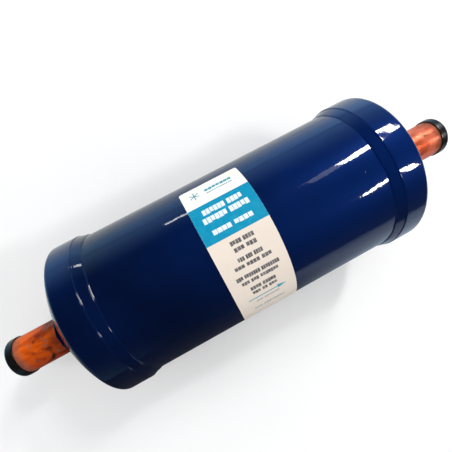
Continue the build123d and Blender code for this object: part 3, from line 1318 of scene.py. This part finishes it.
@dataclass
class WrappedLabel:
    """The film label, wrapped on the shell, and the plain shapes printed on it.

    Marks are laid out flat: X is along the drier, and the other number is the angle up
    the front of the drier from its top line, in degrees.
    """

    shop: Workshop
    shell_radius: float = 38.1
    width: float = 29.2
    middle_x: float = -2.5
    top: float = 52.5
    bottom: float = -112.5
    corner: float = 1.0
    film: float = 0.15
    gap: float = 0.04
    ink: float = 0.012
    step: float = 1.5
    band_low: float = 4.9
    band_high: float = 32.2
    band_inset: float = 0.02
    word_gap: float = 0.6

    def make(self) -> None:
        """Make the film and each ink's marks."""
        slot = "label_film"
        self.shop.finish_piece("label_film_wrapped", self.film_mesh(), FILM, slot, ["label"])
        prints = {
            "label_band": (BAND_INK, self.band()),
            "label_heading_marks": (WHITE_INK, self.rows(HEADING_ROWS)),
            "label_detail_marks": (GREY_INK, self.rows(DETAIL_ROWS)),
            "label_arrow_marks": (TEAL_INK, self.arrow()),
            "label_faint_marks": (PALE_INK, self.rows(FAINT_ROWS)),
        }
        for name, (finish, outlines) in prints.items():
            layer = 2 if finish is WHITE_INK else 1
            self.shop.finish_piece(name, self.ink_mesh(outlines, layer), finish, slot)

    def film_mesh(self) -> Mesh:
        """Build the film with its rounded corners.

        Returns:
            Its mesh.
        """
        half = self.width / 2
        mesh = bmesh.new()
        self.lay(mesh, self.box(-half, self.bottom, half, self.top), corner=self.corner)
        return self.wrap(mesh, self.shell_radius + self.gap, self.film)

    def ink_mesh(self, outlines: Iterable[Sequence[Point]], layer: int) -> Mesh:
        """Build the marks of one ink.

        Args:
            outlines: Each mark's corners.
            layer: Which layer of print it is, from 1.

        Returns:
            Their mesh.
        """
        mesh = bmesh.new()
        for outline in outlines:
            self.lay(mesh, outline)
        base = self.shell_radius + self.gap + self.film + (layer - 1) * self.ink
        return self.wrap(mesh, base, self.ink)

    def lay(self, mesh: Mesh, outline: Sequence[Point], corner: float = 0.0) -> None:
        """Lay one flat mark.

        Args:
            mesh: The mesh to add it to.
            outline: Its corners.
            corner: The radius of its corners, in millimetres.
        """
        arc = radians(1.0) * self.shell_radius
        verts = [mesh.verts.new((x * MM, angle * arc * MM, 0.0)) for x, angle in outline]
        mesh.faces.new(verts)
        if corner:
            bmesh.ops.bevel(
                mesh, geom=verts, offset=corner * MM, affect="VERTICES", segments=8, profile=0.5,
                material=-1,
            )

    def wrap(self, mesh: Mesh, radius: float, thickness: float) -> Mesh:
        """Cut flat marks into strips, bend them round the shell and give them thickness.

        Args:
            mesh: The flat marks.
            radius: The radius of their under side, in millimetres.
            thickness: How thick they are, in millimetres.

        Returns:
            The wrapped mesh.
        """
        arc = radians(1.0) * self.shell_radius * MM
        angle = self.bottom + self.step
        while angle < self.top:
            geometry = [*mesh.verts, *mesh.edges, *mesh.faces]
            bmesh.ops.bisect_plane(
                mesh, geom=geometry, plane_co=(0.0, angle * arc, 0.0), plane_no=(0.0, 1.0, 0.0)
            )
            angle += self.step
        for vert in mesh.verts:
            if vert.co.z == 0.0:
                turn = vert.co.y / (self.shell_radius * MM)
                x = vert.co.x + self.middle_x * MM
                vert.co = (x, radius * MM * sin(turn), radius * MM * cos(turn))
        mesh.normal_update()
        for face in mesh.faces:
            centre = face.calc_center_median()
            if face.normal.dot(Vector((0.0, centre.y, centre.z))) < 0.0:
                face.normal_flip()
        skin = bmesh.ops.extrude_face_region(mesh, geom=list(mesh.faces))["geom"]
        grown = (radius + thickness) / radius
        raised = [item for item in skin if isinstance(item, bmesh.types.BMVert)]
        bmesh.ops.scale(mesh, vec=(1.0, grown, grown), verts=raised)
        bmesh.ops.recalc_face_normals(mesh, faces=mesh.faces)
        return mesh

    @staticmethod
    def box(x0: float, low: float, x1: float, high: float) -> list[Point]:
        """Give the corners of a rectangle."""
        return [(x0, low), (x1, low), (x1, high), (x0, high)]

    def row(
        self, middle: float, half: float, height: float, words: Sequence[int], shift: float = 0.0
    ) -> list[list[Point]]:
        """Lay a row of small blocks that stand for a line of print.

        Args:
            middle: The row's angle.
            half: Half its width, in millimetres.
            height: Its height, in millimetres.
            words: How many blocks each group has.
            shift: How far the row is moved along the drier.

        Returns:
            Each block's corners.
        """
        chance = random.Random(round(middle * 10))
        slots = sum(words) + self.word_gap * (len(words) - 1)
        pitch = 2 * half / slots
        up = degrees(height / 2 / self.shell_radius)
        blocks = []
        x = -half
        for count in words:
            for _ in range(count):
                wide = pitch * chance.uniform(0.84, 0.93)
                low = middle - up * chance.choice((1.0, 1.0, 0.75))
                blocks.append(self.box(x + shift, low, x + wide + shift, middle + up))
                x += pitch
            x += self.word_gap * pitch
        return blocks

    def rows(self, lines: Iterable[tuple]) -> list[list[Point]]:
        """Lay several rows, and give each block's corners."""
        return [block for line in lines for block in self.row(*line)]

    def band(self) -> list[list[Point]]:
        """Lay the coloured band across the label.

        Returns:
            Its corners.
        """
        half = self.width / 2
        inset = self.band_inset
        return [self.box(-half + inset, self.band_low, half - inset, self.band_high)]

    def arrow(self) -> list[list[Point]]:
        """Lay the flow arrow, and the plain snow crystal and rows at the label's top.

        Returns:
            Each mark's corners.
        """
        shaft = self.box(-9.2, -43.6, 6.4, -42.7)
        head = [(5.4, -44.9), (9.8, -43.15), (5.4, -41.4)]
        return [shaft, head, *self.crystal(-8.6, 42.9, 2.5), *self.rows(TITLE_ROWS)]

    def crystal(self, x: float, angle: float, size: float) -> list[list[Point]]:
        """Lay a plain six-armed crystal.

        Args:
            x: Its middle along the drier.
            angle: Its middle's angle.
            size: Its radius, in millimetres.

        Returns:
            Each arm's corners.
        """
        arms = []
        to_angle = degrees(1.0 / self.shell_radius)
        half_arm = 0.22
        for arm in range(3):
            turn = radians(60.0 * arm + 30.0)
            along = (cos(turn) * size, sin(turn) * size)
            across = (-sin(turn) * half_arm, cos(turn) * half_arm)
            arms.append(
                [
                    (
                        x + way * along[0] + side * across[0],
                        angle + (way * along[1] + side * across[1]) * to_angle,
                    )
                    for way, side in ((-1, -1), (1, -1), (1, 1), (-1, 1))
                ]
            )
        return arms


# --- inner pieces ---


@dataclass
class InnerPack:
    """The pieces sealed inside the shell, carried over with finishes of their own."""

    shop: Workshop

    def make(self) -> None:
        """Dress each inner piece."""
        spring = MillSteel(
            title="spring_steel", bright=(0.30, 0.29, 0.28), dull=(0.10, 0.095, 0.09), roughness=0.4
        )
        dressed = (
            (PressedFelt(), ("inlet_fibre_pad", "outlet_fibre_pad")),
            (WovenWire(), ("inlet_mesh_screen", "outlet_mesh_screen")),
            (MillSteel(), ("inlet_pressure_plate", "outlet_perforated_plate")),
            (spring, ("pack_spring",)),
            (MouldedDesiccant(), ("desiccant_block",)),
        )
        for finish, nodes in dressed:
            for node in nodes:
                self.shop.dress_node(node, finish, finish.title)


# --- studio ---


@dataclass(frozen=True)
class Lamp:
    """One area lamp, facing the drier; places and sizes are in metres."""

    name: str
    place: Place
    size: Point
    power: float
    along: Place
    seen: bool = True

    def hang(self) -> None:
        """Hang the lamp."""
        data = bpy.data.lights.new(self.name, "AREA")
        data.shape = "RECTANGLE"
        data.size, data.size_y = self.size
        data.energy = self.power
        lamp = bpy.data.objects.new(self.name, data)
        bpy.context.scene.collection.objects.link(lamp)
        back = Vector(self.place).normalized()
        right = Vector(self.along)
        right = (right - right.dot(back) * back).normalized()
        up = back.cross(right)
        turn = Matrix((right, up, back)).transposed().to_4x4()
        lamp.matrix_world = Matrix.Translation(Vector(self.place)) @ turn
        lamp.visible_glossy = self.seen


TUBE_LINE = (0.091, 0.026, -0.072)
LEVEL = (1.0, 0.0, 0.0)
LAMPS = (
    Lamp("tube_upper", (0.70, 0.515, 0.915), (0.17, 0.10), 3.0, TUBE_LINE),
    Lamp("tube_glow", (0.60, 0.495, 0.98), (0.24, 0.12), 0.16, TUBE_LINE),
    Lamp("tube_corner", (0.816, 0.61, 0.765), (0.20, 0.06), 2.5, (0.048, -0.158, 0.087)),
    Lamp("tube_lower", (0.71, -0.478, 0.928), (0.13, 0.05), 1.6, (0.071, 0.083, 0.0)),
    Lamp("tube_end", (0.818, -0.39, 0.898), (0.13, 0.05), 1.6, (0.044, -0.084, -0.069)),
    Lamp("window", (-0.055, 1.17, 0.36), (0.12, 0.05), 0.22, LEVEL),
    Lamp("soft_top", (0.2, 0.2, 1.9), (1.6, 1.6), 6.0, LEVEL, seen=False),
    Lamp("soft_side", (-0.6, 1.5, 1.2), (1.2, 1.2), 2.5, LEVEL, seen=False),
)


@dataclass
class Studio:
    """The floor, the room, the lamps and the camera."""

    floor_z: float = -40.0
    floor_half: float = 6.0
    room: Colour = (0.62, 0.625, 0.63)
    dark_wall: Colour = (0.030, 0.034, 0.045)
    pale_wall: Colour = (0.32, 0.62, 0.92)
    overhead: Colour = (0.012, 0.014, 0.020)
    camera_place: Place = (-17.64, 0.0, 156.72)
    camera_tilt: float = -4.09
    camera_nod: float = -1.20
    camera_roll: float = -28.27
    camera_lens: float = 23.276
    camera_shift: Point = (-0.0100, 0.0566)

    def make(self) -> None:
        """Lay the floor, light the room, hang the lamps and set the camera."""
        self.floor()
        self.surround()
        for lamp in LAMPS:
            lamp.hang()
        self.camera()

    def floor(self) -> None:
        """Lay the pale floor."""
        mesh = bmesh.new()
        bmesh.ops.create_grid(mesh, x_segments=8, y_segments=8, size=self.floor_half)
        bmesh.ops.translate(mesh, verts=mesh.verts, vec=(0.0, 0.0, self.floor_z * MM))
        data = bpy.data.meshes.new("studio_floor")
        mesh.to_mesh(data)
        mesh.free()
        data.materials.append(StudioFloor().material())
        board = bpy.data.objects.new("studio_floor", data)
        bpy.context.scene.collection.objects.link(board)

    def surround(self) -> None:
        """Set the room's soft light, and the darker walls and ceiling that gloss shows."""
        world = bpy.data.worlds.new("studio")
        bpy.context.scene.world = world
        world.use_nodes = True
        sheet = ShaderSheet(world.node_tree)
        x, y, z = sheet.place("Generated")
        height = sheet.window(z, -0.05, 0.62, "height")
        back = sheet.window(y, -0.55, 0.75, "back wall")
        inlet = sheet.window(x, -0.20, -0.90, "inlet wall")
        pale = sheet.maths("MAXIMUM", back, inlet, label="pale walls")
        walls = sheet.blend(pale, self.dark_wall, self.pale_wall, "walls")
        seen = sheet.blend(height, walls, self.overhead, "seen in gloss")
        glossy = sheet.node("LightPath").outputs["Is Glossy Ray"]
        room = sheet.blend(glossy, self.room, seen, "soft room")
        sheet.feed(world.node_tree.nodes["Background"], Color=room, Strength=1.0)

    def camera(self) -> None:
        """Set the camera, which looks down on the front of the drier."""
        data = bpy.data.cameras.new("camera")
        data.sensor_width = 36.0
        data.lens = self.camera_lens
        data.shift_x, data.shift_y = self.camera_shift
        data.clip_start = 0.01
        camera = bpy.data.objects.new("camera", data)
        bpy.context.scene.collection.objects.link(camera)
        turn = (
            Matrix.Rotation(radians(self.camera_tilt), 4, "Y")
            @ Matrix.Rotation(radians(self.camera_nod), 4, "X")
            @ Matrix.Rotation(radians(self.camera_roll), 4, "Z")
        )
        camera.matrix_world = Matrix.Translation(Vector(self.camera_place) * MM) @ turn
        bpy.context.scene.camera = camera
        settings = bpy.context.scene.view_settings
        settings.view_transform = "Standard"
        settings.look = "None"


def main() -> None:
    """Build the drier's looks piece by piece."""
    logging.basicConfig(level=logging.INFO, format="%(name)s: %(message)s", stream=sys.stdout)
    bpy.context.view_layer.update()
    shop = Workshop()
    PaintedBody(shop).make()
    for end in End:
        SweatSocket(shop, end).make()
    WrappedLabel(shop).make()
    InnerPack(shop).make()
    Studio().make()


if __name__ == "__main__":
    main()
